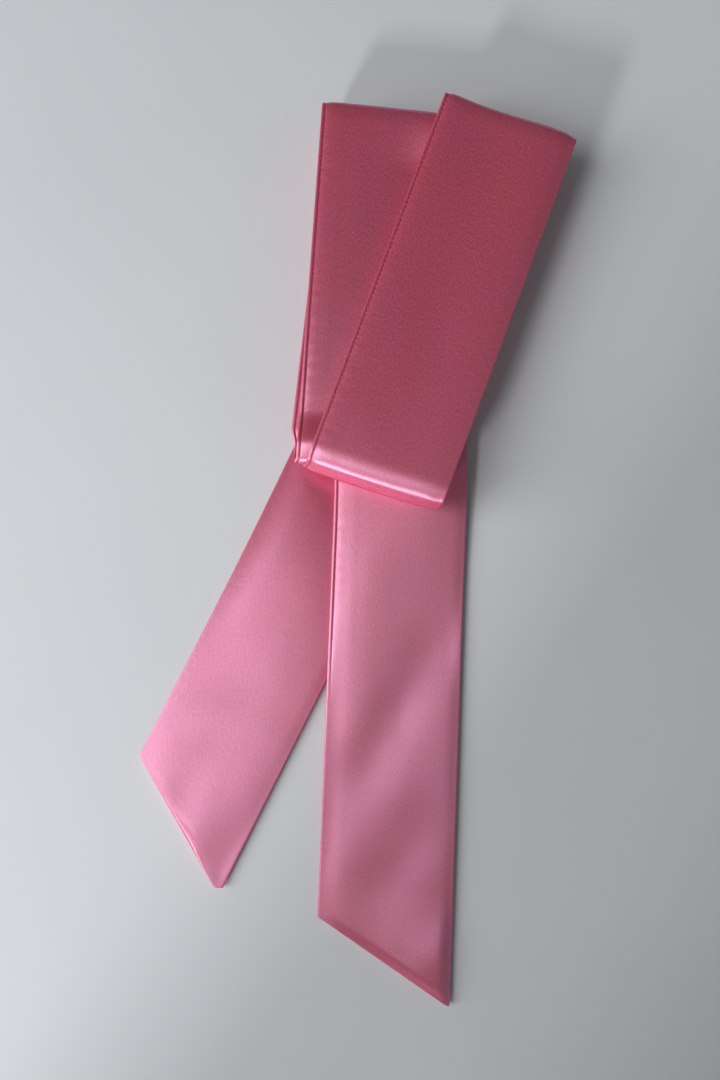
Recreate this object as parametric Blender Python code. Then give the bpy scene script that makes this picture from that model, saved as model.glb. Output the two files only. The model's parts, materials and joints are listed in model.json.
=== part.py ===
"""A satin tie headband: one long flattened tube of satin, folded up in a flat bundle with both slant-cut tails out.

The band is doubled, and the two strands are folded twice, so that six runs lie on each other. From the table up they
are the left tail, the right tail, the outer back panel, the inner back panel, the inner front panel and the outer front
panel. +X is to the right of the bundle, +Y is towards its top folds, and +Z is up from the table.
"""

import math

import bmesh
import bpy
from mathutils import Vector

MM = 0.001

# The strip
TAIL_WIDTH = 53.6 * MM
BUNDLE_WIDTH = 54.8 * MM
RUN_THICKNESS = 4.2 * MM
LAYER_PITCH = 4.6 * MM
EDGE_RADIUS = 1.5 * MM
NODE_GAP = 0.3 * MM
HALF_GAP = NODE_GAP / 2

# The sewn edge, along the left side of every run and across both slant-cut ends
SEAM_WIDTH = 1.5 * MM
SEAM_THICKNESS = 2.2 * MM
SEAM_RADIUS = 0.7 * MM

# Layers, counted from the table
LEFT_TAIL_LAYER = 0
RIGHT_TAIL_LAYER = 1
OUTER_BACK_LAYER = 2
INNER_BACK_LAYER = 3
INNER_FRONT_LAYER = 4
OUTER_FRONT_LAYER = 5

# How far each run leans to the right of +Y, in degrees
LEFT_TAIL_LEAN = 26.7
LEFT_RUN_LEAN = 23.1
RIGHT_TAIL_LEAN = 2.3
RIGHT_RUN_LEAN = -1.3
OUTER_BACK_LEAN = 7.0
INNER_BACK_LEAN = 6.5
INNER_FRONT_LEAN = 4.0
OUTER_FRONT_LEAN = 20.4

# A point on the centre line of each run
LEFT_TAIL_POINT = (-39.4 * MM, -49.0 * MM)
LEFT_RUN_POINT = (10.0 * MM, 49.3 * MM)
RIGHT_TAIL_POINT = (16.25 * MM, 3.35 * MM)
OUTER_BACK_POINT = (3.6 * MM, 16.3 * MM)
INNER_BACK_POINT = (-0.1 * MM, 36.9 * MM)
INNER_FRONT_POINT = (5.0 * MM, 66.0 * MM)
OUTER_FRONT_POINT = (20.5 * MM, 61.0 * MM)

# The folds: a point on the line that the fold reaches out to, and how far that line falls to the right, in degrees
OUTER_TOP_LINE = ((59.4 * MM, 166.2 * MM), 20.4)
INNER_TOP_LINE = ((12.5 * MM, 171.5 * MM), 6.0)
OUTER_BOTTOM_LINE = ((3.9 * MM, 18.2 * MM), 17.9)
INNER_BOTTOM_LINE = ((-22.0 * MM, 32.2 * MM), 5.0)
TOP_CORNER_RADIUS = 4.5 * MM
ARC_STEPS = 5

# The lines that the moving pieces fold along
FLAP_HINGE = ((32.0 * MM, 154.6 * MM), 15.2)
RIGHT_HINGE = (RIGHT_TAIL_POINT, RIGHT_TAIL_LEAN)
LEFT_HINGE = (LEFT_TAIL_POINT, LEFT_TAIL_LEAN)
MIDDLE_FOLD_SETBACK = 2.5 * MM

# The tails, measured down each centre line from its hinge
LEFT_TAIL_END = 71.6 * MM
RIGHT_TAIL_END = 169.7 * MM
LEFT_END_SLANT = 33.0
RIGHT_END_SLANT = 31.8
RIGHT_DROP_START = 61.0 * MM
RIGHT_DROP_END = 92.0 * MM
DROP_STEPS = 6

# Moves the folded object so that its middle stands on the origin
SHIFT = Vector((2.25 * MM, 5.41 * MM, 0.0))

SATIN = (0.62, 0.16, 0.26, 1.0)
SATIN_SHADED = (0.52, 0.12, 0.20, 1.0)
SEAM_PINK = (0.72, 0.24, 0.36, 1.0)


def clear_scene():
    for obj in list(bpy.data.objects):
        bpy.data.objects.remove(obj, do_unlink=True)


def along(lean):
    """The way a run goes, up the bundle."""
    angle = math.radians(lean)
    return Vector((math.sin(angle), math.cos(angle), 0.0))


def across(lean):
    """The way from a run's left edge to its right edge."""
    angle = math.radians(lean)
    return Vector((math.cos(angle), -math.sin(angle), 0.0))


def flat(point):
    return Vector((point[0], point[1], 0.0))


class Run:
    """A straight length of strip at one layer."""

    def __init__(self, point, lean, width, layer):
        self.point = flat(point)
        self.lean = lean
        self.width = width
        self.height = RUN_THICKNESS / 2 + layer * LAYER_PITCH

    def edge_on(self, side, line, offset):
        """Where the edge on this side crosses the line, moved by offset up the bundle."""
        (x, y), fall = line
        on_line = flat((x, y)) + along(fall) * offset
        start = self.point + across(self.lean) * (side * self.width / 2)
        way = along(self.lean)
        normal = along(fall)
        reach = (on_line - start).dot(normal) / way.dot(normal)
        edge = start + way * reach
        edge.z = self.height
        return edge

    def pair(self, line, offset=0.0):
        return self.edge_on(-1, line, offset), self.edge_on(1, line, offset)

    def pair_at(self, distance, slant=0.0):
        """The two edges this far up the centre line from the run's point, on a cut slanted down to the right."""
        centre = self.point + along(self.lean) * distance
        return self.pair(((centre.x, centre.y), self.lean + slant))


def fold_pairs(first, second, line, depth, corner, upward):
    """Edge pairs round a fold from the first run to the second. The fold reaches out to the line."""
    outward = 1.0 if upward else -1.0
    offset = -outward * depth
    start_left, start_right = first.pair(line, offset)
    end_left, end_right = second.pair(line, offset)
    rise = second.height - first.height
    middle = first.height + rise / 2
    wall = abs(rise) / 2 - corner
    profile = []
    for step in range(ARC_STEPS + 1):
        angle = math.pi / 2 * step / ARC_STEPS
        profile.append((corner * math.sin(angle), -wall - corner * math.cos(angle)))
    if wall < 1e-6:
        profile.pop()
    for step in range(ARC_STEPS + 1):
        angle = math.pi / 2 * (1 - step / ARC_STEPS)
        profile.append((corner * math.sin(angle), wall + corner * math.cos(angle)))
    sign = 1.0 if rise > 0 else -1.0
    out = along(line[1]) * outward
    pairs = []
    for reach, height in profile:
        share = 0.5 + height / abs(rise)
        left = start_left.lerp(end_left, share) + out * reach
        right = start_right.lerp(end_right, share) + out * reach
        left.z = right.z = middle + sign * height
        pairs.append((left, right))
    return pairs


def section(left, right, normal, thickness, radius):
    """A flat strip's cross-section with round edges, as points in order."""
    wide = (right - left).normalized()
    half = thickness / 2
    corners = (
        (left, -1, -1, 180),
        (right, 1, -1, 270),
        (right, 1, 1, 0),
        (left, -1, 1, 90),
    )
    points = []
    for edge, side, top, start in corners:
        middle = edge - wide * (side * radius) + normal * (top * (half - radius))
        for turn in (0, 45, 90):
            angle = math.radians(start + turn)
            points.append(middle + wide * (radius * math.cos(angle)) + normal * (radius * math.sin(angle)))
    return points


def normals_of(pairs):
    """The strip's own upright direction at each edge pair."""
    middles = [(left + right) / 2 for left, right in pairs]
    found = []
    for k, (left, right) in enumerate(pairs):
        way = middles[min(k + 1, len(pairs) - 1)] - middles[max(k - 1, 0)]
        found.append((right - left).cross(way).normalized())
    return found


def strip_solid(name, pairs, thickness, radius, colour):
    """One closed body swept through the edge pairs. Both ends stand upright, because every strip ends lying flat."""
    normals = normals_of(pairs)
    for end in (0, -1):
        normals[end] = Vector((0.0, 0.0, math.copysign(1.0, normals[end].z)))
    mesh = bpy.data.meshes.new(name)
    shape = bmesh.new()
    rings = []
    for (left, right), normal in zip(pairs, normals):
        ring = section(left, right, normal, thickness, radius)
        rings.append([shape.verts.new(point + SHIFT) for point in ring])
    count = len(rings[0])
    for low, high in zip(rings, rings[1:]):
        for k in range(count):
            after = (k + 1) % count
            shape.faces.new((low[k], low[after], high[after], high[k]))
    shape.faces.new(list(reversed(rings[0])))
    shape.faces.new(rings[-1])
    bmesh.ops.recalc_face_normals(shape, faces=shape.faces)
    shape.to_mesh(mesh)
    shape.free()
    obj = bpy.data.objects.new(name, mesh)
    bpy.context.scene.collection.objects.link(obj)
    mesh.materials.append(satin(name, colour))
    return obj


def satin(name, colour):
    material = bpy.data.materials.new(name)
    material.use_nodes = True
    shader = material.node_tree.nodes["Principled BSDF"]
    shader.inputs["Base Color"].default_value = colour
    shader.inputs["Roughness"].default_value = 0.4
    return material


def cloth_pairs(pairs):
    """The cloth between the sewn edge and the folded edge."""
    inset = SEAM_WIDTH + NODE_GAP
    return [(left + (right - left).normalized() * inset, right) for left, right in pairs]


def seam_pairs(pairs):
    """The sewn edge at the left of the strip."""
    return [(left, left + (right - left).normalized() * SEAM_WIDTH) for left, right in pairs]


def cloth(name, pairs, colour):
    return strip_solid(name, cloth_pairs(pairs), RUN_THICKNESS, EDGE_RADIUS, colour)


def seam(name, pairs):
    return strip_solid(name, seam_pairs(pairs), SEAM_THICKNESS, SEAM_RADIUS, SEAM_PINK)


def make_runs():
    return {
        "left_tail": Run(LEFT_TAIL_POINT, LEFT_TAIL_LEAN, TAIL_WIDTH, LEFT_TAIL_LAYER),
        "left_run": Run(LEFT_RUN_POINT, LEFT_RUN_LEAN, BUNDLE_WIDTH, LEFT_TAIL_LAYER),
        "right_tail": Run(RIGHT_TAIL_POINT, RIGHT_TAIL_LEAN, TAIL_WIDTH, RIGHT_TAIL_LAYER),
        "right_run": Run(RIGHT_TAIL_POINT, RIGHT_RUN_LEAN, BUNDLE_WIDTH, RIGHT_TAIL_LAYER),
        "outer_back": Run(OUTER_BACK_POINT, OUTER_BACK_LEAN, BUNDLE_WIDTH, OUTER_BACK_LAYER),
        "inner_back": Run(INNER_BACK_POINT, INNER_BACK_LEAN, BUNDLE_WIDTH, INNER_BACK_LAYER),
        "inner_front": Run(INNER_FRONT_POINT, INNER_FRONT_LEAN, BUNDLE_WIDTH, INNER_FRONT_LAYER),
        "outer_front": Run(OUTER_FRONT_POINT, OUTER_FRONT_LEAN, BUNDLE_WIDTH, OUTER_FRONT_LAYER),
    }


def make_folds(runs):
    """Each fold as edge pairs, and the line and setback where the two runs meet it."""
    top_depth = TOP_CORNER_RADIUS + RUN_THICKNESS / 2
    outer_radius = (runs["outer_front"].height - runs["outer_back"].height) / 2
    inner_radius = (runs["inner_front"].height - runs["inner_back"].height) / 2
    middle_line = (tuple(flat(FLAP_HINGE[0]) - along(FLAP_HINGE[1]) * MIDDLE_FOLD_SETBACK)[:2], FLAP_HINGE[1])
    plans = {
        "outer_top": ("left_run", "outer_front", OUTER_TOP_LINE, top_depth, TOP_CORNER_RADIUS, True),
        "inner_top": ("right_run", "inner_front", INNER_TOP_LINE, top_depth, TOP_CORNER_RADIUS, True),
        "outer_bottom": (
            "outer_front",
            "outer_back",
            OUTER_BOTTOM_LINE,
            outer_radius + RUN_THICKNESS / 2,
            outer_radius,
            False,
        ),
        "inner_bottom": (
            "inner_back",
            "inner_front",
            INNER_BOTTOM_LINE,
            inner_radius + RUN_THICKNESS / 2,
            inner_radius,
            False,
        ),
        "middle": ("outer_back", "inner_back", middle_line, inner_radius + RUN_THICKNESS / 2, inner_radius, True),
    }
    folds = {}
    for name, (first, second, line, depth, corner, upward) in plans.items():
        pairs = fold_pairs(runs[first], runs[second], line, depth, corner, upward)
        setback = -depth if upward else depth
        folds[name] = (pairs, line, setback)
    return folds


def between(run, low, high, low_gap=0.0, high_gap=0.0):
    """The run's edge pairs from the low line to the high line, kept clear of each by its gap."""
    return [run.pair(low[0], low[1] + low_gap), run.pair(high[0], high[1] - high_gap)]


def bent_left_run(runs, end):
    """The left tail's run under the bundle, which bends a little under the panels."""
    lower = runs["left_tail"]
    upper = runs["left_run"]
    start = lower.pair(LEFT_HINGE, HALF_GAP)
    bend = (LEFT_RUN_POINT, (LEFT_TAIL_LEAN + LEFT_RUN_LEAN) / 2)
    return [start, upper.pair(bend), end]


def build_base(runs, folds):
    """The two lowest runs, their top folds and the short legs that the flap hangs from."""
    outer, outer_line, outer_back = folds["outer_top"]
    inner, inner_line, inner_back = folds["inner_top"]
    left_end = runs["left_run"].pair(outer_line, outer_back - NODE_GAP)
    right_end = runs["right_run"].pair(inner_line, inner_back - NODE_GAP)
    left_pairs = bent_left_run(runs, left_end)
    right_pairs = [runs["right_run"].pair(RIGHT_HINGE, HALF_GAP), right_end]
    cloth("left_tail_run", left_pairs, SATIN_SHADED)
    cloth("right_tail_run", right_pairs, SATIN_SHADED)
    outer_leg = runs["outer_front"].pair(FLAP_HINGE, HALF_GAP)
    inner_leg = runs["inner_front"].pair(FLAP_HINGE, HALF_GAP)
    cloth("outer_top_fold", outer + [outer_leg], SATIN)
    cloth("inner_top_fold", inner + [inner_leg], SATIN)
    seam("left_run_seam", left_pairs + outer + [outer_leg])
    seam("right_run_seam", right_pairs + inner + [inner_leg])


def build_flap(runs, folds):
    """The panels and rolls that lift together away from the two lowest runs."""
    bottom, bottom_line, bottom_back = folds["outer_bottom"]
    nose, nose_line, nose_back = folds["inner_bottom"]
    middle, middle_line, middle_back = folds["middle"]
    hinge = (FLAP_HINGE, 0.0)
    at_bottom = (bottom_line, bottom_back)
    at_nose = (nose_line, nose_back)
    at_middle = (middle_line, middle_back)
    outer_front = between(runs["outer_front"], at_bottom, hinge, NODE_GAP, HALF_GAP)
    inner_front = between(runs["inner_front"], at_nose, hinge, NODE_GAP, HALF_GAP)
    outer_back = between(runs["outer_back"], at_bottom, at_middle, NODE_GAP, NODE_GAP)
    inner_back = between(runs["inner_back"], at_nose, at_middle, NODE_GAP, NODE_GAP)
    cloth("outer_front_panel", outer_front, SATIN)
    cloth("inner_front_panel", inner_front, SATIN)
    cloth("outer_back_panel", outer_back, SATIN_SHADED)
    cloth("inner_back_panel", inner_back, SATIN_SHADED)
    cloth("outer_bottom_roll", bottom, SATIN)
    cloth("inner_bottom_roll", nose, SATIN)
    cloth("middle_fold", middle, SATIN_SHADED)
    path = [outer_front[1]] + bottom + middle + nose + [inner_front[1]]
    seam("flap_seam", path)


def slanted_end(name, run, distance, slant, height):
    """The sewn edge along a slant-cut end."""
    left, right = run.pair_at(-distance, slant)
    left.z = right.z = height
    out = -along(run.lean + slant)
    near = out * NODE_GAP
    far = out * (NODE_GAP + SEAM_WIDTH)
    pairs = [(left + far, left + near), (right + far, right + near)]
    return strip_solid(name, pairs, SEAM_THICKNESS, SEAM_RADIUS, SEAM_PINK)


def right_tail_height(distance):
    """The right tail lies on the left one first and comes down to the table beyond it."""
    share = (distance - RIGHT_DROP_START) / (RIGHT_DROP_END - RIGHT_DROP_START)
    share = min(max(share, 0.0), 1.0)
    eased = share * share * (3 - 2 * share)
    return RUN_THICKNESS / 2 + LAYER_PITCH * (1 - eased)


def build_left_tail(runs):
    run = runs["left_tail"]
    pairs = [run.pair(LEFT_HINGE, -HALF_GAP), run.pair_at(-LEFT_TAIL_END, LEFT_END_SLANT)]
    cloth("left_tail", pairs, SATIN)
    seam("left_tail_seam", pairs)
    slanted_end("left_tail_end_seam", run, LEFT_TAIL_END, LEFT_END_SLANT, run.height)


def build_right_tail(runs):
    run = runs["right_tail"]
    pairs = [run.pair(RIGHT_HINGE, -HALF_GAP)]
    for step in range(DROP_STEPS + 1):
        distance = RIGHT_DROP_START + (RIGHT_DROP_END - RIGHT_DROP_START) * step / DROP_STEPS
        left, right = run.pair_at(-distance)
        left.z = right.z = right_tail_height(distance)
        pairs.append((left, right))
    left, right = run.pair_at(-RIGHT_TAIL_END, RIGHT_END_SLANT)
    left.z = right.z = RUN_THICKNESS / 2
    pairs.append((left, right))
    cloth("right_tail", pairs, SATIN)
    seam("right_tail_seam", pairs)
    slanted_end("right_tail_end_seam", run, RIGHT_TAIL_END, RIGHT_END_SLANT, RUN_THICKNESS / 2)


def build():
    clear_scene()
    runs = make_runs()
    folds = make_folds(runs)
    build_base(runs, folds)
    build_flap(runs, folds)
    build_left_tail(runs)
    build_right_tail(runs)


build()
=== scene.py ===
"""The looks of the folded satin tie headband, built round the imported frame.

The band is one flat tube of satin, folded so that six runs of it lie on each other. Each strand here is a tube in its
own right: a lofted skin with a sewn bead along its left edge and a pressed fold along its right one, and the cavity
inside it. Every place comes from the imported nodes. Lengths are in millimetres until a mesh is written.
"""

import json
import math

import bpy
import numpy as np
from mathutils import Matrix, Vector, noise


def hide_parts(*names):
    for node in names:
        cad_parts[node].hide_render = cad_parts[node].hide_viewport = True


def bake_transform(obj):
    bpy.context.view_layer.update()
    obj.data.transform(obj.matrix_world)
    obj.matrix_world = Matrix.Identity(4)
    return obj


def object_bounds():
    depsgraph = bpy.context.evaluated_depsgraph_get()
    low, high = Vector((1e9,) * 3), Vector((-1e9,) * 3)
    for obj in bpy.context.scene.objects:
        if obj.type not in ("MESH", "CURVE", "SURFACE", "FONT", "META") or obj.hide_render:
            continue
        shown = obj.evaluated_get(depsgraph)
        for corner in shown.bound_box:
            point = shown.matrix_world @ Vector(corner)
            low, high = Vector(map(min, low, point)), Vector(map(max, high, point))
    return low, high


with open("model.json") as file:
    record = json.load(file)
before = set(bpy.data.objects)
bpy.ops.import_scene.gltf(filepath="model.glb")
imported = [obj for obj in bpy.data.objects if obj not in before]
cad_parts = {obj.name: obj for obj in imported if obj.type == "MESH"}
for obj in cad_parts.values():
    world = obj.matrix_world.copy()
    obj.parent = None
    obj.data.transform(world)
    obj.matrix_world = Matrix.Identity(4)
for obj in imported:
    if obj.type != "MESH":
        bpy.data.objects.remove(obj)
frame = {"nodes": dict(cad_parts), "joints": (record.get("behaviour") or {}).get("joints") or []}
CAD_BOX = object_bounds()

MM = 0.001

# How far each run leans to the right of +Y, and how far each fold line falls to the right, in degrees
LEANS = {
    "left_tail": 26.7,
    "left_tail_run": 23.1,
    "right_tail": 2.3,
    "right_tail_run": -1.3,
    "outer_back_panel": 7.0,
    "inner_back_panel": 6.5,
    "inner_front_panel": 4.0,
    "outer_front_panel": 20.4,
}
OUTER_TOP_FALL = 20.4
INNER_TOP_FALL = 6.0
OUTER_BOTTOM_FALL = 17.9
INNER_BOTTOM_FALL = 5.0
LEFT_END_FALL = 26.7 + 33.0
RIGHT_END_FALL = 2.3 + 31.8

# The strip's cross-section, as half thicknesses and distances from its edges
SEAM_ROOM = 1.8
BEAD_RADIUS = 0.72
BEAD_HALF = 0.8
GROOVE = 1.52
GROOVE_HALF = 0.2
SHOULDER = 0.75
SHOULDER_SPREAD = 0.5
EDGE_HALF = 0.55
EDGE_SPREAD = 0.6
LOFT = 1.85
CREASED_HALF = 0.5
PUFF = 0.6
END_HALF = 0.85
END_SPREAD = 3.4
CLOTH = 0.25
THINNEST = 0.04

# The seam's thread. A stitch is (share of its length, share of its thickness, rise) at each of its rings
THREAD = 0.14
STITCH_LENGTH = 1.5
STITCH_STEP = 1.9
STITCH_SIDES = 6
EVERYWHERE = -1e3
STITCH_SHAPE = ((0, 0.45, -0.16), (0.12, 0.9, -0.03), (0.5, 1.0, 0.03), (0.88, 0.9, -0.03), (1, 0.45, -0.16))

# The folds as they look: (inward, upward) radii of each corner, and half the strip's thickness there
TOP_CORNERS = ((3.6, 3.6), (2.3, 2.3))
TOP_HALVES = (1.5, 1.15)
TOP_STARTS = TOP_CORNERS[0][0] + TOP_HALVES[0]
TOP_ENDS = TOP_CORNERS[1][0] + TOP_HALVES[1]

# The outer roll: the reach of its upper corner, and how far its panel droops into it
ROLL_CORNER = 2.3
DROOP = 7.0
DROOP_LENGTH = 11.5

# The inner roll: how far below its solid it reaches, its half thickness, and the band pressed by the outer one
NOSE_DROP = 3.6
NOSE_HALF = 1.0
BAND = 9.0

# The hidden middle of the band: its fold is this far below the flap's line, and the two strands meet further down
MIDDLE_BACK = 7.0
STRANDS_MEET = 60.0

# Where the cross-section has points: from the left edge, and back from the right edge
FROM_LEFT = (0, 0.1, 0.27, 0.47, 0.72, 0.95, 1.13, 1.27, 1.37, 1.45, 1.52, 1.6, 1.74, 1.95, 2.2, 2.55, 2.95)
FROM_LEFT += (3.6, 4.6, 5.8, 7.2, 8.4, 9.6, 11, 13, 15.5, 18, 21, 24)
FROM_RIGHT = (25.6, 23, 20.4, 17.8, 15.2, 13, 11, 9, 7.2, 5.6, 4.2, 3, 2.1, 1.4, 0.9, 0.55, 0.3, 0.14, 0.05, 0)
RUN_STEP = 1.4
ARC_STEP = 0.9


def along(lean):
    """The way a run goes, up the bundle."""
    angle = math.radians(lean)
    return np.array((math.sin(angle), math.cos(angle)))


def across(lean):
    """The way from a run's left edge to its right edge."""
    angle = math.radians(lean)
    return np.array((math.cos(angle), -math.sin(angle)))


def smooth(x):
    x = np.clip(x, 0.0, 1.0)
    return x * x * (3 - 2 * x)


def node_points(*nodes):
    """The points of CAD nodes, in millimetres."""
    found = []
    for node in nodes:
        mesh = frame["nodes"][node].data
        points = np.empty(len(mesh.vertices) * 3, np.float32)
        mesh.vertices.foreach_get("co", points)
        found.append(points.reshape(-1, 3).astype(float) / MM)
    return np.concatenate(found)


class Run:
    """A straight length of strip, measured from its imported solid."""

    def __init__(self, node, last=None):
        lean = LEANS[node]
        points = node_points(node)
        self.way, self.side = along(lean), across(lean)
        if last:
            reach = points[:, :2] @ self.way
            points = points[reach > reach.max() - last]
        sides = points[:, :2] @ self.side
        self.left, self.right = sides.min() - SEAM_ROOM, sides.max()
        self.width = self.right - self.left
        self.height = (points[:, 2].min() + points[:, 2].max()) / 2

    def point(self, side, line):
        """Where this side coordinate crosses a line (how far out it is, the way it faces)."""
        reach, facing = line
        x, y = np.linalg.solve(np.array((self.side, facing)), np.array((side, reach)))
        return np.array((x, y, self.height))

    def pair(self, line, offset=0.0):
        moved = (line[0] + offset, line[1])
        return self.point(self.left, moved), self.point(self.right, moved)


def line_of(fall, *nodes, lowest=False):
    """The line with this fall that the nodes reach out to."""
    facing = along(fall)
    reach = node_points(*nodes)[:, :2] @ facing
    return (reach.min() if lowest else reach.max()), facing


def hinge(name):
    """A joint's line (how far out it is, the way it faces) and a point of its axis."""
    joint = next(j for j in frame["joints"] if j["name"] == name)
    place, axis = np.array(joint["pos_m"]) / MM, joint["axis"]
    facing = np.array((axis[1], -axis[0]))
    return (place[:2] @ facing, facing), place


class Path:
    """Stations along one strand: both edge points, how far along the cloth each lies, and where it is creased."""

    def __init__(self):
        self.left, self.right, self.v, self.creases = [], [], [], []

    def at(self):
        """How far along the cloth the path has come."""
        return float(np.mean(self.v[-1])) if self.v else 0.0

    def add(self, left, right, v):
        if self.left and np.allclose(left, self.left[-1]) and np.allclose(right, self.right[-1]):
            return
        self.left.append(left)
        self.right.append(right)
        self.v.append(v)

    def measured(self, run, pair, up, mean):
        """How far along the cloth each edge of this pair is, when the middle is at mean."""
        reach = np.array([point[:2] @ run.way for point in pair])
        return mean + (1 if up else -1) * (reach - reach.mean())

    def straight(self, run, start, end, up):
        first, last = run.pair(*start), run.pair(*end)
        length = abs((np.mean(last, axis=0) - np.mean(first, axis=0))[:2] @ run.way)
        begin = self.at()
        steps = max(2, math.ceil(length / RUN_STEP))
        for k in range(steps + 1):
            share = k / steps
            pair = [a + (b - a) * share for a, b in zip(first, last)]
            self.add(*pair, self.measured(run, pair, up, begin + length * share))

    def fold(self, first, second, line, upward, corners, halves, bulge=0.0):
        """Goes round a fold from one run to another, and gives how far along the cloth it begins and ends.

        corners are the (inward, upward) radii of its two corners, and halves the half thickness at each.
        """
        sign = 1 if upward else -1
        out = line[1] * sign
        rise = second.height - first.height
        turn = 1 if rise > 0 else -1
        (in_a, up_a), (in_b, up_b) = corners
        half_a, half_b = halves
        start = first.pair(line, -sign * (in_a + half_a))
        end = second.pair(line, -sign * (in_b + half_b))
        wall_a = [p + np.append(out * in_a, 0) for p in start]
        wall_b = [p + np.append(out * in_b, 0) for p in end]
        profile = []
        steps = max(4, math.ceil((in_a + up_a) * 0.8 / ARC_STEP))
        for k in range(steps + 1):
            angle = math.pi / 2 * k / steps
            profile.append((in_a * (1 - math.sin(angle)), up_a * (1 - math.cos(angle))))
        wall = abs(rise) - up_a - up_b
        for k in range(1, math.ceil(wall / RUN_STEP)):
            profile.append((0.0, up_a + wall * k / math.ceil(wall / RUN_STEP)))
        steps = max(4, math.ceil((in_b + up_b) * 0.8 / ARC_STEP))
        for k in range(0 if wall > 1e-6 else 1, steps + 1):
            angle = math.pi / 2 * k / steps
            profile.append((in_b * (1 - math.cos(angle)), abs(rise) - up_b * (1 - math.sin(angle))))
        begin, begin_v = self.at(), np.array(self.v[-1])
        gone, travelled = 0.0, [0.0]
        for (q0, z0), (q1, z1) in zip(profile, profile[1:]):
            gone += math.hypot(q1 - q0, z1 - z0)
            travelled.append(gone)
        end_v = self.measured(second, end, not upward, begin + gone)
        for (inward, height), far in zip(profile, travelled):
            share = height / abs(rise)
            inward -= bulge * math.sin(math.pi * share)
            pair = []
            for a, b in zip(wall_a, wall_b):
                p = a + (b - a) * share
                p[:2] -= out * inward
                p[2] = first.height + turn * height
                pair.append(p)
            self.add(*pair, begin_v + (end_v - begin_v) * (far / gone))
        return begin, begin + gone

    def crease(self, v, width, strength):
        """Presses the tube flat, by strength at v and less beside it."""
        self.creases.append((v, width, strength))


def lateral(width):
    """The cross-section's points, as distances from the left edge."""
    return np.array(FROM_LEFT + tuple(width - d for d in FROM_RIGHT))


def eased(share):
    """Rises from 0 to 1, fast at first."""
    return 1 - (1 - np.clip(share, 0, 1)) ** 2


def pressed_edge(inward, spread):
    """Half the thickness beside a plain folded edge: a tight round, and then the loft."""
    return EDGE_HALF * np.sqrt(np.clip(eased(inward / EDGE_SPREAD), 0, 1)) + (LOFT - EDGE_HALF) * eased(inward / spread)


def half_profile(u, width, spread):
    """Half the tube's thickness at each distance from the left edge: bead, stitch groove, shoulder and loft."""
    bead = BEAD_HALF * np.sqrt(np.clip(1 - ((u - BEAD_RADIUS) / BEAD_RADIUS) ** 2, 0, 1))
    past = np.maximum(u - GROOVE, 0)
    rest = LOFT - GROOVE_HALF - SHOULDER
    left = GROOVE_HALF + SHOULDER * (1 - np.exp(-past / SHOULDER_SPREAD)) + rest * eased(past / spread)
    left = np.where(u < GROOVE, np.maximum(bead, GROOVE_HALF * smooth(u / EDGE_SPREAD)), left)
    return np.minimum(left, pressed_edge(np.maximum(width - u, 0), spread))


def plain_profile(u, width, spread):
    """Half the thickness where the seam has rolled round to the underside."""
    return np.where(u < width / 2, pressed_edge(u, spread), half_profile(u, width, spread))


def noise_field(u, v, size_u, size_v, seed):
    """Smooth noise over the strip, with grains of this size."""
    flat_u, flat_v = np.ravel(u), np.ravel(v)
    found = [noise.noise(Vector((a / size_u, b / size_v, seed))) for a, b in zip(flat_u, flat_v)]
    return np.array(found).reshape(u.shape)


class Cloth:
    """The middle surface of a strand as a grid, and where each of its points is on the cloth (u across, v along)."""

    def __init__(self, path, width, seed):
        self.u = lateral(width)
        self.width = width
        share = self.u / width
        left, right = np.array(path.left), np.array(path.right)
        self.points = left[:, None] + (right - left)[:, None] * share[None, :, None]
        v = np.array(path.v)
        self.v = v[:, :1] + (v[:, 1:] - v[:, :1]) * share[None]
        self.uu = np.broadcast_to(self.u, self.v.shape)
        self.creases = path.creases
        self.seed = seed

    def loft(self):
        """The share of its loft that the tube keeps at each point, beside its creases."""
        pressed = np.zeros_like(self.v)
        for v, width, strength in self.creases:
            pressed = np.maximum(pressed, strength * np.exp(-(((self.v - v) / width) ** 2)))
        return 1 - pressed

    def normals(self):
        lengthwise = np.gradient(self.points, axis=0)
        crosswise = np.gradient(self.points, axis=1)
        found = np.cross(crosswise, lengthwise)
        return found / np.linalg.norm(found, axis=2, keepdims=True)


def slack(cloth, amount):
    """The cloth's own gentle unevenness, the same on both faces of a run."""
    u, v, seed = cloth.uu, cloth.v, cloth.seed
    inside = smooth(u / 9) * smooth((cloth.width - u) / 7)
    broad = noise_field(u, v, 26, 46, seed) * 0.55
    small = noise_field(u, v, 10, 17, seed + 7.3) * 0.13
    return amount * (broad + small) * (0.25 + 0.75 * inside)


def puckers(cloth, seed):
    """Little ripples that the stitches pull in beside the seam."""
    u, v = cloth.uu, cloth.v
    beside = np.exp(-(((u - 2.6) / 2.4) ** 2)) * (u > GROOVE)
    return 0.16 * beside * noise_field(u * 0.4, v, 6, 2.6, seed)


def allowance(cloth):
    """The seam allowance inside the tube shows as a faint step beside the seam."""
    u = cloth.uu
    return 0.16 * smooth((u - 2) / 2.5) * (1 - smooth((u - 7.5) / 4))


def ridge(cloth, u, v, turn, long, wide, height):
    """A soft ridge or dent: turn is from lengthwise towards the right edge, in degrees."""
    angle = math.radians(turn)
    du, dv = cloth.uu - u, cloth.v - v
    lengthwise = dv * math.cos(angle) + du * math.sin(angle)
    crosswise = du * math.cos(angle) - dv * math.sin(angle)
    return height * np.exp(-((lengthwise / long) ** 2) - (crosswise / wide) ** 2)


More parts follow.
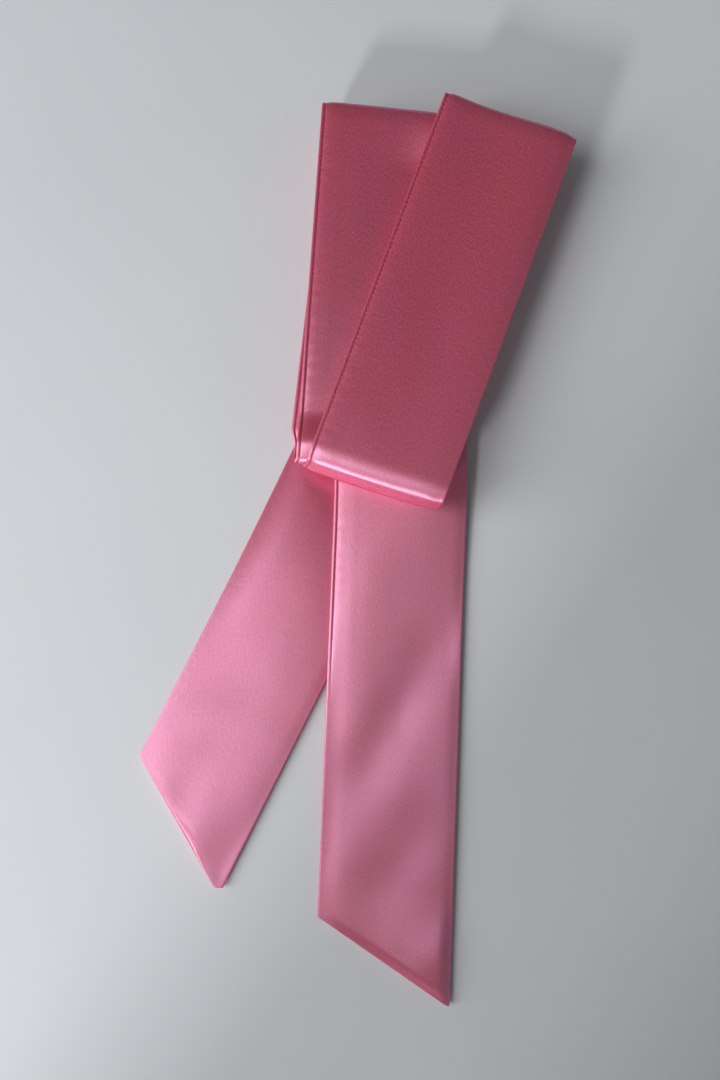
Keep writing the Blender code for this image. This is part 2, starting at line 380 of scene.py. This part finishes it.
def sealed(grid_up, grid_down, uv_up, uv_down, faces, points, uvs, flip):
    """Adds one closed skin between two grids that share their long edges."""
    rows, cols = grid_up.shape[:2]
    base = len(points)
    ring = 2 * cols - 2
    for i in range(rows):
        points.extend(grid_up[i])
        points.extend(grid_down[i, cols - 2 : 0 : -1])
    ring_u = np.concatenate([uv_up, uv_down[cols - 2 : 0 : -1]])
    for i in range(rows - 1):
        for k in range(ring):
            after = (k + 1) % ring
            a, b = base + i * ring + k, base + i * ring + after
            c, d = base + (i + 1) * ring + after, base + (i + 1) * ring + k
            u0, u1 = ring_u[k], ring_u[after] if after else uv_down[0]
            around = ((a, (u0, i, k)), (b, (u1, i, after)), (c, (u1, i + 1, after)), (d, (u0, i + 1, k)))
            if flip:
                around = (around[0], around[3], around[2], around[1])
            faces.append(tuple(corner for corner, _ in around))
            uvs.append(tuple(place for _, place in around))
    for i, reverse in ((0, not flip), (rows - 1, flip)):
        row = base + i * ring
        for k in range(cols - 1):
            lower = [(ring - k) % ring, ring - k - 1]
            if k == cols - 2:
                lower[1] = cols - 1
            corners = list(dict.fromkeys((k, k + 1, lower[1], lower[0])))
            if reverse:
                corners.reverse()
            faces.append(tuple(row + c for c in corners))
            uvs.append(tuple((ring_u[min(c, ring - 1)], i, c) for c in corners))


def add_object(name, points, faces, material):
    """Links a smooth mesh. points are in millimetres."""
    mesh = bpy.data.meshes.new(name)
    mesh.from_pydata([tuple(p * MM) for p in points], [], faces)
    mesh.polygons.foreach_set("use_smooth", [True] * len(mesh.polygons))
    mesh.materials.append(material)
    obj = bpy.data.objects.new(name, mesh)
    bpy.context.scene.collection.objects.link(obj)
    return obj


def build_strand(name, cloth, above, below, material):
    """A strand's object, its normals and its two faces: the tube's skin, and the cavity inside the sewn edge."""
    normals = cloth.normals()
    up = cloth.points + normals * above[:, :, None]
    down = cloth.points - normals * below[:, :, None]
    for grid in (up, down):
        grid[:, 0], grid[:, -1] = cloth.points[:, 0], cloth.points[:, -1]
    points, faces, uvs = [], [], []
    width = cloth.width
    sealed(up, down, cloth.u, 2 * width - cloth.u, faces, points, uvs, flip=False)
    skin_faces = len(faces)
    inner = [k for k, u in enumerate(cloth.u) if 2.2 < u < width - 0.5][::2]
    rows = list(range(4, len(cloth.points) - 3, 3))
    pick = np.ix_(rows, inner)
    hollow_up = cloth.points[pick] + normals[pick] * np.maximum(above[pick] - CLOTH, THINNEST)[:, :, None]
    hollow_down = cloth.points[pick] - normals[pick] * np.maximum(below[pick] - CLOTH, THINNEST)[:, :, None]
    for k in (0, -1):
        middle = (hollow_up[:, k] + hollow_down[:, k]) / 2
        hollow_up[:, k], hollow_down[:, k] = middle, middle
    inner_u = cloth.u[inner]
    sealed(hollow_up, hollow_down, inner_u, 2 * width - inner_u, faces, points, uvs, flip=True)

    obj = add_object(name, points, faces, material)
    flat_uv = []
    for index, corners in enumerate(uvs):
        skin = index < skin_faces
        count = len(cloth.u) if skin else len(inner)
        for u, i, k in corners:
            column = k if k < count else 2 * count - 2 - k
            flat_uv.extend((u, cloth.v[i, column] if skin else cloth.v[rows[i], inner[column]]))
    obj.data.uv_layers.new(name="strip").data.foreach_set("uv", flat_uv)
    obj.data.validate()
    return obj, normals, up, down


# ---------------------------------------------------------------- places

RUNS = {node: Run(node, last=12 if node == "left_tail_run" else None) for node in LEANS}
OUTER_TOP = line_of(OUTER_TOP_FALL, "outer_top_fold")
INNER_TOP = line_of(INNER_TOP_FALL, "inner_top_fold")
OUTER_BOTTOM = line_of(OUTER_BOTTOM_FALL, "outer_bottom_roll", lowest=True)
INNER_BOTTOM = line_of(INNER_BOTTOM_FALL, "inner_bottom_roll", lowest=True)
LEFT_END = line_of(LEFT_END_FALL, "left_tail_end_seam", lowest=True)
RIGHT_END = line_of(RIGHT_END_FALL, "right_tail_end_seam", lowest=True)
FLAP_LINE, FLAP_PLACE = hinge("flap_lift")
LEFT_LINE, LEFT_PLACE = hinge("left_tail_lift")
RIGHT_LINE, RIGHT_PLACE = hinge("right_tail_lift")
MIDDLE = (FLAP_LINE[0] - MIDDLE_BACK, FLAP_LINE[1])


def tail_rows(run, end_line, top_line, blunt):
    """The tail's grid from its slanted end up to its hinge line. blunt(side) is where its tip is cut off."""
    u = lateral(run.width)
    sides = run.left + u
    reach, facing = end_line
    slanted = (reach - sides * (run.side @ facing)) / (run.way @ facing)
    end = np.logaddexp(slanted / 0.35, blunt(sides) / 0.35) * 0.35
    reach, facing = top_line
    top = (reach - sides * (run.side @ facing)) / (run.way @ facing)
    near = np.array((0, 0.05, 0.15, 0.3, 0.5, 0.75, 1.05, 1.5, 2.1, 2.9, 3.9, 5.1))
    length = np.mean(top - end)
    rest = np.linspace(6.4, length, max(2, math.ceil((length - 6.4) / RUN_STEP)))
    shares = np.concatenate([near, rest]) / length
    places = end[None] + (top - end)[None] * shares[:, None]
    grid = np.empty(places.shape + (3,))
    grid[:, :, :2] = sides[None, :, None] * run.side + places[:, :, None] * run.way
    grid[:, :, 2] = run.height
    from_end = (places - end[None]) * abs(run.way @ end_line[1])
    return grid, places, from_end


def end_profile(distance):
    """The most that half the thickness can be at each distance from a slanted end seam."""
    edge = END_HALF * np.sqrt(np.clip(eased(distance / END_HALF), 0, 1))
    return 0.01 + edge + (LOFT + PUFF - END_HALF) * eased(distance / END_SPREAD)


# ---------------------------------------------------------------- materials


class Nodes:
    """A short way to write a node tree."""

    def __init__(self, name):
        self.material = bpy.data.materials.new(name)
        self.material.use_nodes = True
        self.tree = self.material.node_tree
        self.shader = self.tree.nodes["Principled BSDF"]

    def add(self, kind, **settings):
        node = self.tree.nodes.new("ShaderNode" + kind)
        for key, value in settings.items():
            if hasattr(node, key):
                setattr(node, key, value)
        return node

    def link(self, start, end):
        self.tree.links.new(start, end)

    def math(self, operation, a, b):
        node = self.add("Math", operation=operation)
        for socket, value in zip(node.inputs, (a, b)):
            if isinstance(value, (int, float)):
                socket.default_value = value
            else:
                self.link(value, socket)
        return node.outputs[0]

    def strip_noise(self, size_u, size_v, detail=2.0, roughness=0.5, shift=0.0):
        """Noise in the strip's own millimetres, so that it runs with the cloth."""
        place = self.add("UVMap", uv_map="strip")
        mapping = self.add("Mapping")
        mapping.inputs["Location"].default_value = (shift, shift * 1.7, shift * 0.3)
        mapping.inputs["Scale"].default_value = (1 / size_u, 1 / size_v, 1)
        self.link(place.outputs["UV"], mapping.inputs["Vector"])
        texture = self.add("TexNoise")
        texture.inputs["Scale"].default_value = 1.0
        texture.inputs["Detail"].default_value = detail
        texture.inputs["Roughness"].default_value = roughness
        self.link(mapping.outputs["Vector"], texture.inputs["Vector"])
        return texture.outputs["Fac"]

    def object_noise(self, scale, detail):
        """Noise in the object's own metres."""
        place = self.add("TexCoord")
        texture = self.add("TexNoise")
        texture.inputs["Scale"].default_value = scale
        texture.inputs["Detail"].default_value = detail
        self.link(place.outputs["Object"], texture.inputs["Vector"])
        return texture.outputs["Fac"]

    def ramp(self, value, stops):
        node = self.add("ValToRGB")
        elements = node.color_ramp.elements
        while len(elements) < len(stops):
            elements.new(0.5)
        for element, (place, colour) in zip(elements, stops):
            element.position = place
            element.color = (*colour, 1)
        self.link(value, node.inputs["Fac"])
        return node.outputs["Color"]


def satin():
    """Pink satin: a narrow lobe along the strip and a wide one across it, over threads that vary in colour."""
    nodes = Nodes("satin")
    shader = nodes.shader
    shader.inputs["IOR"].default_value = 2.8
    shader.inputs["Specular IOR Level"].default_value = 0.9
    shader.inputs["Specular Tint"].default_value = (1.0, 0.55, 0.79, 1)
    shader.inputs["Anisotropic"].default_value = 0.82
    tangent = nodes.add("Tangent", direction_type="UV_MAP", uv_map="strip")
    nodes.link(tangent.outputs["Tangent"], shader.inputs["Tangent"])

    threads = nodes.strip_noise(0.55, 1.1, detail=3.0, roughness=0.7)
    broad = nodes.strip_noise(16, 30, detail=2.0, shift=31.0)
    dark, middle, light = (0.5, 0.045, 0.08), (0.68, 0.084, 0.135), (0.86, 0.15, 0.22)
    tone = nodes.ramp(threads, ((0.28, dark), (0.5, middle), (0.72, light)))
    warm, cool = (1.0, 0.98, 0.92), (0.98, 1.02, 1.1)
    wide = nodes.ramp(broad, ((0.35, warm), (0.65, cool)))
    mix = nodes.add("Mix", data_type="RGBA", blend_type="MULTIPLY")
    mix.inputs["Factor"].default_value = 1.0
    nodes.link(tone, mix.inputs["A"])
    nodes.link(wide, mix.inputs["B"])
    nodes.link(mix.outputs["Result"], shader.inputs["Base Color"])

    rough = nodes.math("MULTIPLY_ADD", threads, 0.1)
    rough.node.inputs[2].default_value = 0.4
    nodes.link(rough, shader.inputs["Roughness"])

    weave = nodes.strip_noise(0.5, 1.9, detail=3.0, roughness=0.65, shift=5.0)
    bump = nodes.add("Bump")
    bump.inputs["Strength"].default_value = 0.6
    bump.inputs["Distance"].default_value = 0.00012
    nodes.link(weave, bump.inputs["Height"])
    nodes.link(bump.outputs["Normal"], shader.inputs["Normal"])
    return nodes.material


def thread():
    """The seam's thread, with fibres a little lighter and darker."""
    nodes = Nodes("thread")
    shader = nodes.shader
    shader.inputs["Roughness"].default_value = 0.4
    shader.inputs["Specular IOR Level"].default_value = 0.8
    fibres = nodes.object_noise(1400.0, detail=2.0)
    tone = nodes.ramp(fibres, ((0.3, (0.48, 0.075, 0.15)), (0.7, (0.76, 0.17, 0.29))))
    nodes.link(tone, shader.inputs["Base Color"])
    return nodes.material


def table():
    """A plain pale table top."""
    nodes = Nodes("table")
    shader = nodes.shader
    clouds = nodes.object_noise(9.0, detail=4.0)
    tone = nodes.ramp(clouds, ((0.3, (0.775, 0.785, 0.8)), (0.7, (0.8, 0.81, 0.825))))
    nodes.link(tone, shader.inputs["Base Color"])
    shader.inputs["Roughness"].default_value = 0.6
    return nodes.material


# ---------------------------------------------------------------- the strands

left_run, right_run = RUNS["left_tail_run"], RUNS["right_tail_run"]
left_tail, right_tail = RUNS["left_tail"], RUNS["right_tail"]
front, inner_front = RUNS["outer_front_panel"], RUNS["inner_front_panel"]
back, inner_back = RUNS["outer_back_panel"], RUNS["inner_back_panel"]


def lay_over(points):
    """Lets the right strand down from the left one to the table, beyond the left one's right edge."""
    beyond = points[..., :2] @ left_tail.side - left_tail.right
    layer = right_run.height - left_run.height
    points[..., 2] = left_tail.height + layer * (1 - smooth((beyond + 8) / 42))


def tail_cloth(run, end_line, top_line, cut, seed, upper):
    """A tail and the run above it as one cloth. cut is how much of its tip is gone, and upper the run's path."""
    tip = run.point(run.right, end_line)[1] + cut

    def blunt(sides):
        return (tip - sides * run.side[1]) / run.way[1]

    grid, places, from_end = tail_rows(run, end_line, top_line, blunt)
    cloth = Cloth(upper, run.width, seed)
    shift = places[-1].mean()
    cloth.points = np.concatenate([grid[:-1], cloth.points])
    cloth.v = np.concatenate([places[:-1] - shift, cloth.v])
    cloth.uu = np.broadcast_to(cloth.u, cloth.v.shape)
    far = np.full((len(upper.left), len(cloth.u)), 1e3)
    return cloth, np.concatenate([from_end[:-1], far])


def swerve(tail, tail_line, run, top):
    """The path from a tail's hinge line to the top fold: it leaves the tail straight and comes in along the run."""
    path = Path()
    first = tail.pair(tail_line)
    last = run.pair(top, -TOP_STARTS)
    length = np.linalg.norm((np.mean(last, axis=0) - np.mean(first, axis=0))[:2])
    steps = math.ceil(length / RUN_STEP)
    for k in range(steps + 1):
        s = k / steps
        pair = []
        for a, b in zip(first, last):
            reach = np.linalg.norm((b - a)[:2])
            leaving = np.append(tail.way, 0) * reach
            coming = np.append(run.way, 0) * reach
            pair.append(
                a * (1 + 2 * s) * (1 - s) ** 2
                + b * s * s * (3 - 2 * s)
                + leaving * s * (1 - s) ** 2
                - coming * s * s * (1 - s)
            )
        path.add(*pair, path.measured(tail if s < 0.5 else run, pair, True, length * s))
    return path, length


def start_loop(run, second, top, start_v, bulge):
    """A loop's path as far as the end of its creased top fold."""
    path = Path()
    fold_start = run.pair(top, -TOP_STARTS)
    path.add(*fold_start, path.measured(run, fold_start, True, start_v))
    _, after = path.fold(run, second, top, True, TOP_CORNERS, TOP_HALVES, bulge)
    path.crease(after - 1.6, 3.2, 0.55)
    return path


def round_corners(radius):
    """Both corners of a fold that is a half circle."""
    return (radius, radius), (radius, radius)


def make_outer(start_v):
    """The outer strand from its top fold down to the roll, back up to the middle fold, and down to the inner strand."""
    path = start_loop(left_run, front, OUTER_TOP, start_v, bulge=0.5)
    radius = (front.height - back.height) / 2
    path.straight(front, (OUTER_TOP, -TOP_ENDS), (OUTER_BOTTOM, ROLL_CORNER + LOFT), False)
    path.fold(front, back, OUTER_BOTTOM, False, ((ROLL_CORNER, radius), (radius, radius)), (LOFT, LOFT))
    nose = (inner_back.height - back.height) / 2
    path.straight(back, (OUTER_BOTTOM, radius + LOFT), (MIDDLE, -(nose + LOFT)), True)
    path.fold(back, inner_back, MIDDLE, True, round_corners(nose), (LOFT, LOFT))
    path.straight(inner_back, (MIDDLE, -(nose + LOFT)), (MIDDLE, -STRANDS_MEET), False)

    cloth = Cloth(path, front.width, 3.1)
    inside = cloth.points[..., :2] @ OUTER_BOTTOM[1] - OUTER_BOTTOM[0]
    upper = smooth((cloth.points[..., 2] - (front.height + back.height) / 2) / radius)
    uneven = 1 + 0.22 * noise_field(cloth.uu, cloth.v, 7, 40, 4.4) + 0.1 * noise_field(cloth.uu, cloth.v, 2.6, 16, 8.1)
    cloth.points[..., 2] -= DROOP * uneven * upper * (1 - np.clip(inside / DROOP_LENGTH, 0, 1)) ** 3
    return cloth


def make_inner(start_v):
    """The inner strand from its top fold down to its roll and up again to the outer strand."""
    path = start_loop(right_run, inner_front, INNER_TOP, start_v, bulge=0.4)
    low = (INNER_BOTTOM[0] - NOSE_DROP, INNER_BOTTOM[1])
    nose = (inner_front.height - inner_back.height) / 2
    path.straight(inner_front, (INNER_TOP, -TOP_ENDS), (low, nose + NOSE_HALF), False)
    begin, after = path.fold(inner_front, inner_back, low, False, round_corners(nose), (NOSE_HALF, NOSE_HALF))
    path.crease((begin + after) / 2, 8.0, 0.5)
    path.straight(inner_back, (low, nose + NOSE_HALF), (MIDDLE, -STRANDS_MEET), True)

    cloth = Cloth(path, inner_front.width, 9.4)
    past = cloth.points[..., :2] @ low[1] - low[0]
    upper = smooth((cloth.points[..., 2] - inner_back.height) / (2 * nose))
    # the outer roll presses the roll flat
    cloth.points[..., 2] += (1 - smooth(past / BAND)) * (0.3 - 2.0 * upper)
    # its lower left edge is drawn in under the upper one
    drawn = 1.9 * (1 - upper) * smooth((14 - past) / 7) * np.exp(-cloth.uu / 10)
    cloth.points[..., :2] += drawn[..., None] * inner_front.side
    # the panel gives way under the outer one, and beside its edge
    beside = front.left - cloth.points[..., :2] @ front.side
    clear = smooth((INNER_TOP[0] - 4 - cloth.points[..., :2] @ INNER_TOP[1]) / 22) * smooth((past - 7) / 14)
    cloth.points[..., 2] -= 3.0 * upper * clear * np.exp(-((np.maximum(beside, 0) / 12) ** 2))
    return cloth


def dents(cloth, *places):
    """The soft ridges and hollows the cloth has kept: (u, v, turn, long, wide, height) each."""
    return sum(ridge(cloth, *place) for place in places)


def profiles(profile, cloth, spread):
    """One cross-section all along a strand."""
    return np.array([profile(cloth.u, cloth.width, spread)] * len(cloth.v))


def shape_halves(cloth, spread, amount, extra=0.0):
    """What both faces share: the plain half thickness, the slack, 0 at the edges and 1 inside, and the extra."""
    base = profiles(half_profile, cloth, spread)
    base = base * cloth.loft() + (1 - cloth.loft()) * np.minimum(base, CREASED_HALF)
    soft = slack(cloth, amount) * np.clip(base / LOFT, 0, 1)
    near = smooth((cloth.uu - GROOVE) / 0.6) * smooth((cloth.width - cloth.uu) / 2)
    extra = np.maximum(extra, -0.6 * base) * smooth((cloth.uu - 1) / 7) * smooth((cloth.width - cloth.uu) / 5)
    return base, soft, near, extra


def loop_halves(cloth, amount, extra=0.0):
    """Half a loop's thickness towards each face. Its lower face is the one seen at rest, on its front panel."""
    base, soft, near, extra = shape_halves(cloth, 15, amount, extra)
    above = base + (-soft * 0.5 + puckers(cloth, 5.0)) * near
    below = base + (soft + allowance(cloth) + puckers(cloth, 2.0) + extra) * near
    return above, below


def tail_halves(cloth, from_end, spread, extra, rolled):
    """Half a tail's thickness towards each face. rolled is 1 where its seam has rolled to the underside."""
    base, soft, near, extra = shape_halves(cloth, spread, 0.5, extra)
    above = base + (soft + (allowance(cloth) + puckers(cloth, 2.0)) * (1 - 0.8 * rolled)) * near
    below = base + (-soft * 0.5 + puckers(cloth, 5.0)) * near
    above = above + (profiles(plain_profile, cloth, spread) - base) * rolled
    cap = end_profile(from_end)
    above, below = np.minimum(above, cap), np.minimum(below, cap)
    return above + extra * near * smooth((from_end - 0.3) / 4.4), below


def left_dents(left):
    """The left tail bulges where it comes out from under the bundle, and lifts a little towards its tip."""
    found = dents(
        left,
        (26, -36, 62, 16, 7, -0.3),
        (42, -30, 50, 20, 8, 0.3),
        (44, -50, 10, 20, 8, 0.35),
        (23, -62, 5, 13, 7, -0.55),
        (36, -68, 20, 15, 9, 0.45),
        (16, -16, 35, 18, 8, -0.3),
    )
    sideways = smooth(left.uu / 13) * (1 - 0.75 * smooth((left.uu - 18) / 36))
    slant = left.v + 0.75 * left.uu
    found += 2.8 * smooth((slant + 5) / 80) * (1 - smooth((slant - 78) / 34)) * sideways
    found -= 1.5 * (1 - smooth((left.v + 92) / 46)) * smooth((left.uu - 32) / 22)
    found += 1.3 * (1 - smooth((left.v + 106) / 66)) * smooth(left.uu / 16)
    return found


def right_dents(right):
    """The right tail has slanting creases over it, and rises at its tip."""
    found = dents(
        right,
        (40, -58, 31, 27, 9, -1.0),
        (19, -66, 20, 34, 9, 0.55),
        (11, -92, 2, 46, 9, 0.5),
        (37, -120, 8, 34, 9, -0.5),
        (26, -138, 40, 18, 10, -0.5),
        (50, -166, 35, 15, 9, 1.0),
        (36, -14, 40, 20, 10, -0.3),
        (31, -106, 0, 26, 14, 0.6),
        (38, -46, 0, 13, 13, -0.6),
        (26, -74, 0, 13, 13, -0.45),
        (13, -97, 0, 14, 12, -0.7),
        (38, -118, 0, 14, 13, -0.6),
    )
    found += 0.55 * smooth(right.uu / 14)
    found += 1.6 * (1 - smooth((right.v + 186) / 44)) * smooth((right.uu - 12) / 20)
    return found


def outer_dents(outer):
    """Soft dents in the outer front panel, and none on the side that lies on the table."""
    found = dents(
        outer,
        (48, 280, 0, 70, 17, 0.7),
        (26, 290, 0, 60, 15, -0.6),
        (16, 262, 20, 16, 10, -0.4),
        (30, 345, 12, 26, 10, -0.25),
        (20, 395, 30, 16, 9, 0.25),
    )
    return found * smooth((outer.v - 232) / 16)


def make_all():
    """The four strands: each one's cloth, and half its thickness towards each face."""
    left_path, left_v = swerve(left_tail, LEFT_LINE, left_run, OUTER_TOP)
    left, left_from_end = tail_cloth(left_tail, LEFT_END, LEFT_LINE, 3.2, 3.1, left_path)
    right_path, _ = swerve(right_tail, RIGHT_LINE, right_run, INNER_TOP)
    right, right_from_end = tail_cloth(right_tail, RIGHT_END, RIGHT_LINE, 0.8, 9.4, right_path)
    lay_over(right.points)
    outer = make_outer(left_v)
    inner = make_inner(right_path.at())
    left_rolled = 1 - smooth((left.v - 80) / 40)
    right_rolled = 1 - smooth((right.v + 75) / 55)
    return {
        "left_strand": (left, tail_halves(left, left_from_end, 24, left_dents(left), left_rolled)),
        "right_strand": (right, tail_halves(right, right_from_end, 20, right_dents(right), right_rolled)),
        "outer_loop": (outer, loop_halves(outer, 0.3, outer_dents(outer))),
        "inner_loop": (inner, loop_halves(inner, 0.35)),
    }


def stitch_row(name, cloth, normals, faces_of, material, upper_from):
    """The seam's stitches on both faces of a strand: short rounded lengths of thread, lying in the groove.

    On the upper face they only show from upper_from on, because below that the seam has rolled under.
    """
    column = int(np.argmin(abs(cloth.u - GROOVE)))
    points, faces = [], []
    sides = STITCH_SIDES
    for grid, outward in faces_of:
        line = grid[:, column]
        normal = normals[:, column] * outward
        gone = np.concatenate([[0], np.cumsum(np.linalg.norm(np.diff(line, axis=0), axis=1))])
        for k in range(int((gone[-1] - 3) / STITCH_STEP)):
            start = 1.5 + k * STITCH_STEP
            if outward > 0 and np.interp(start, gone, cloth.v[:, column]) < upper_from:
                continue
            wander = 0.06 * noise.noise(Vector((k * 0.9, outward, cloth.seed)))
            base = len(points)
            for share, thick, rise in STITCH_SHAPE:
                at = start + STITCH_LENGTH * share
                centre = np.array([np.interp(at, gone, line[:, axis]) for axis in range(3)])
                up = np.array([np.interp(at, gone, normal[:, axis]) for axis in range(3)])
                ahead = np.array([np.interp(at + 0.3, gone, line[:, axis]) for axis in range(3)]) - centre
                ahead /= max(np.linalg.norm(ahead), 1e-9)
                aside = np.cross(ahead, up)
                centre = centre + up * (THREAD * 0.7 + rise) + aside * wander
                for j in range(sides):
                    angle = 2 * math.pi * j / sides
                    points.append(centre + (up * math.cos(angle) + aside * math.sin(angle)) * (THREAD * thick))
            last = base + (len(STITCH_SHAPE) - 1) * sides
            for i in range(len(STITCH_SHAPE) - 1):
                for j in range(sides):
                    after = (j + 1) % sides
                    a, b = base + i * sides + j, base + i * sides + after
                    faces.append((a, b, b + sides, a + sides))
            faces.append(tuple(base + j for j in reversed(range(sides))))
            faces.append(tuple(last + j for j in range(sides)))
    obj = add_object(name, points, faces, material)
    obj.data.validate()
    return obj


def finish_strand(cloth, built, stitches, upper_from, stands_for):
    """Sews a strand with its stitches, bakes the transforms of both pieces, and hides the imported parts it stands for.
    """
    strand, normals, up, down = built
    row = stitch_row(stitches, cloth, normals, ((up, 1), (down, -1)), thread_look, upper_from)
    for piece, slot in ((strand, "satin"), (row, "sewn_edge")):
        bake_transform(piece)
    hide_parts(*stands_for)


satin_look, thread_look = satin(), thread()
CLOTHS = make_all()
BUILT = {name: build_strand(name, cloth, *halves, satin_look) for name, (cloth, halves) in CLOTHS.items()}
finish_strand(
    CLOTHS["left_strand"][0],
    BUILT["left_strand"],
    "left_tail_stitches",
    upper_from=100,
    stands_for=("left_tail", "left_tail_run", "left_tail_seam", "left_tail_end_seam", "left_run_seam"),
)
finish_strand(
    CLOTHS["right_strand"][0],
    BUILT["right_strand"],
    "right_tail_stitches",
    upper_from=-45,
    stands_for=("right_tail", "right_tail_run", "right_tail_seam", "right_tail_end_seam", "right_run_seam"),
)
finish_strand(
    CLOTHS["outer_loop"][0],
    BUILT["outer_loop"],
    "outer_loop_stitches",
    upper_from=EVERYWHERE,
    stands_for=(
        "outer_top_fold",
        "outer_front_panel",
        "outer_bottom_roll",
        "outer_back_panel",
        "middle_fold",
        "flap_seam",
    ),
)
finish_strand(
    CLOTHS["inner_loop"][0],
    BUILT["inner_loop"],
    "inner_loop_stitches",
    upper_from=EVERYWHERE,
    stands_for=("inner_top_fold", "inner_front_panel", "inner_bottom_roll", "inner_back_panel"),
)


# ---------------------------------------------------------------- the stage


def direction(azimuth, elevation):
    """The way to a place in the room. Azimuth is from +X towards +Y, in degrees."""
    turn, rise = math.radians(azimuth), math.radians(elevation)
    return Vector((math.cos(turn) * math.cos(rise), math.sin(turn) * math.cos(rise), math.sin(rise)))


def add_light(name, way, distance, size, power):
    """An area light that faces the object."""
    light = bpy.data.objects.new(name, bpy.data.lights.new(name, "AREA"))
    light.data.shape = "RECTANGLE"
    light.data.size, light.data.size_y = size
    light.data.energy = power
    light.data.color = (0.965, 0.985, 1.0)
    light.location = way * distance
    light.rotation_euler = (-way).to_track_quat("-Z", "Y").to_euler()
    bpy.context.scene.collection.objects.link(light)


def add_card(way):
    """A card on the way to the second light, which keeps it off the lower right. It only throws a shadow."""
    # the shadow's edge on the table runs through these two places, and the card lies to the right of it
    first, last = Vector((-0.085, -0.17, 0)), Vector((0.078, 0.037, 0))
    edge = [first + way * 0.5 - (last - first) * 1.2, first + way * 0.5 + (last - first) * 2.2]
    out = Vector((0.79, -0.61, 0)) * 0.6
    mesh = bpy.data.meshes.new("card")
    mesh.from_pydata([tuple(p) for p in (edge[0], edge[1], edge[1] + out, edge[0] + out)], [], [(0, 1, 2, 3)])
    card = bpy.data.objects.new("card", mesh)
    bpy.context.scene.collection.objects.link(card)
    for ray in ("camera", "diffuse", "glossy", "transmission"):
        setattr(card, "visible_" + ray, False)


def add_floor():
    """The table top, 2.4 m square."""
    mesh = bpy.data.meshes.new("floor")
    half = 1.2
    steps = 24
    points, faces = [], []
    for j in range(steps + 1):
        for i in range(steps + 1):
            points.append((half * (2 * i / steps - 1), half * (2 * j / steps - 1), 0.0))
    for j in range(steps):
        for i in range(steps):
            k = j * (steps + 1) + i
            faces.append((k, k + 1, k + steps + 2, k + steps + 1))
    mesh.from_pydata(points, [], faces)
    mesh.materials.append(table())
    floor = bpy.data.objects.new("floor", mesh)
    bpy.context.scene.collection.objects.link(floor)


def add_camera():
    """The photo's view, from nearly straight above the middle."""
    middle = (Vector(CAD_BOX[0]) + Vector(CAD_BOX[1])) / 2
    camera = bpy.data.objects.new("camera", bpy.data.cameras.new("camera"))
    camera.location = (middle.x + 0.00225, middle.y - 0.01215, 0.335)
    camera.rotation_euler = (math.radians(3.0), 0, 0)
    camera.data.lens = 27.2
    bpy.context.scene.collection.objects.link(camera)
    bpy.context.scene.camera = camera


def add_room():
    """The light of the room: brighter near the horizon, and darker beyond the bundle's top, away from the window."""
    world = bpy.data.worlds.new("studio")
    world.use_nodes = True
    tree = world.node_tree
    place = tree.nodes.new("ShaderNodeTexCoord")
    height = tree.nodes.new("ShaderNodeSeparateXYZ")
    tree.links.new(place.outputs["Generated"], height.inputs["Vector"])
    sky = tree.nodes.new("ShaderNodeValToRGB")
    sky.color_ramp.elements[0].color = (1.35, 1.39, 1.45, 1)
    sky.color_ramp.elements[1].color = (0.5, 0.515, 0.54, 1)
    sky.color_ramp.elements[0].position = 0.2
    tree.links.new(height.outputs["Z"], sky.inputs["Fac"])
    tree.links.new(sky.outputs["Color"], tree.nodes["Background"].inputs["Color"])
    beyond = tree.nodes.new("ShaderNodeVectorMath")
    beyond.operation = "DOT_PRODUCT"
    beyond.inputs[1].default_value = (0.2, 0.98, 0)
    tree.links.new(place.outputs["Generated"], beyond.inputs[0])
    strength = tree.nodes.new("ShaderNodeMapRange")
    strength.interpolation_type = "SMOOTHSTEP"
    for name, value in (("From Min", -0.3), ("From Max", 0.8), ("To Min", 0.2), ("To Max", 0.065)):
        strength.inputs[name].default_value = value
    tree.links.new(beyond.outputs["Value"], strength.inputs["Value"])
    tree.links.new(strength.outputs["Result"], tree.nodes["Background"].inputs["Strength"])
    bpy.context.scene.world = world


add_floor()
add_camera()
add_light("window", direction(187, 40), 1.45, (0.8, 1.35), 15.0)
add_light("side_window", direction(239, 25), 2.2, (0.28, 0.28), 21.0)
add_card(direction(239, 25))
add_room()
bpy.context.scene.view_settings.view_transform = "Standard"
